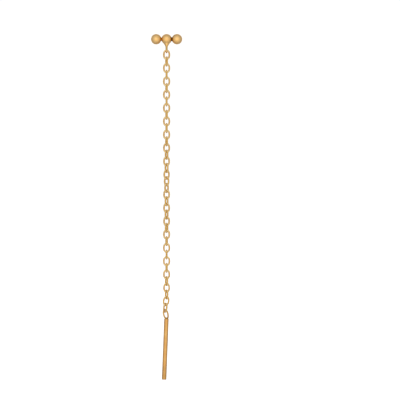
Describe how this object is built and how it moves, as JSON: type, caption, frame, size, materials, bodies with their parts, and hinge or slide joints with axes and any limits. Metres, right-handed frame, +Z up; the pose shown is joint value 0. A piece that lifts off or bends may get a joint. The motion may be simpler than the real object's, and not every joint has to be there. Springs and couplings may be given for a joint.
{
  "type": "threader earring",
  "caption": "Gold threader earring: a bar of soldered round beads, a fine oval cable chain and a slim round rod that is threaded through the ear.",
  "frame": {"origin": "centre of the middle bead of the bar, which stops at the piercing and from which the earring hangs", "axes": "+X along the bead bar, +Z up against the hanging chain, +Y away from the viewer in the front view"},
  "size_m": [0.006, 0.002, 0.0665],
  "materials": {
    "gold": "satin warm gold plating with fine handling marks"
  },
  "bodies": {
    "chain": {"bead_bar": "gold", "link_01": "gold", "link_02": "gold", "link_03": "gold", "link_04": "gold", "link_05": "gold", "link_06": "gold", "link_07": "gold", "link_08": "gold", "link_09": "gold", "link_10": "gold", "link_11": "gold", "link_12": "gold", "link_13": "gold", "link_14": "gold", "link_15": "gold", "link_16": "gold", "link_17": "gold", "link_18": "gold", "link_19": "gold", "link_20": "gold", "link_21": "gold", "link_22": "gold", "link_23": "gold", "link_24": "gold", "link_25": "gold", "link_26": "gold", "link_27": "gold", "link_28": "gold", "link_29": "gold", "link_30": "gold", "link_31": "gold", "link_32": "gold", "link_33": "gold", "link_34": "gold", "link_35": "gold", "link_36": "gold", "link_37": "gold", "link_38": "gold", "link_39": "gold"},
    "drop": {"threader_rod": "gold"}
  },
  "joints": [
    {"name": "rod_swing", "type": "hinge", "parent": "chain", "child": "drop", "pos_m": [-0.00033, 0, -0.05245], "axis": [-0.682, 0.7314, 0], "range_deg": [-110, 110]}
  ]
}
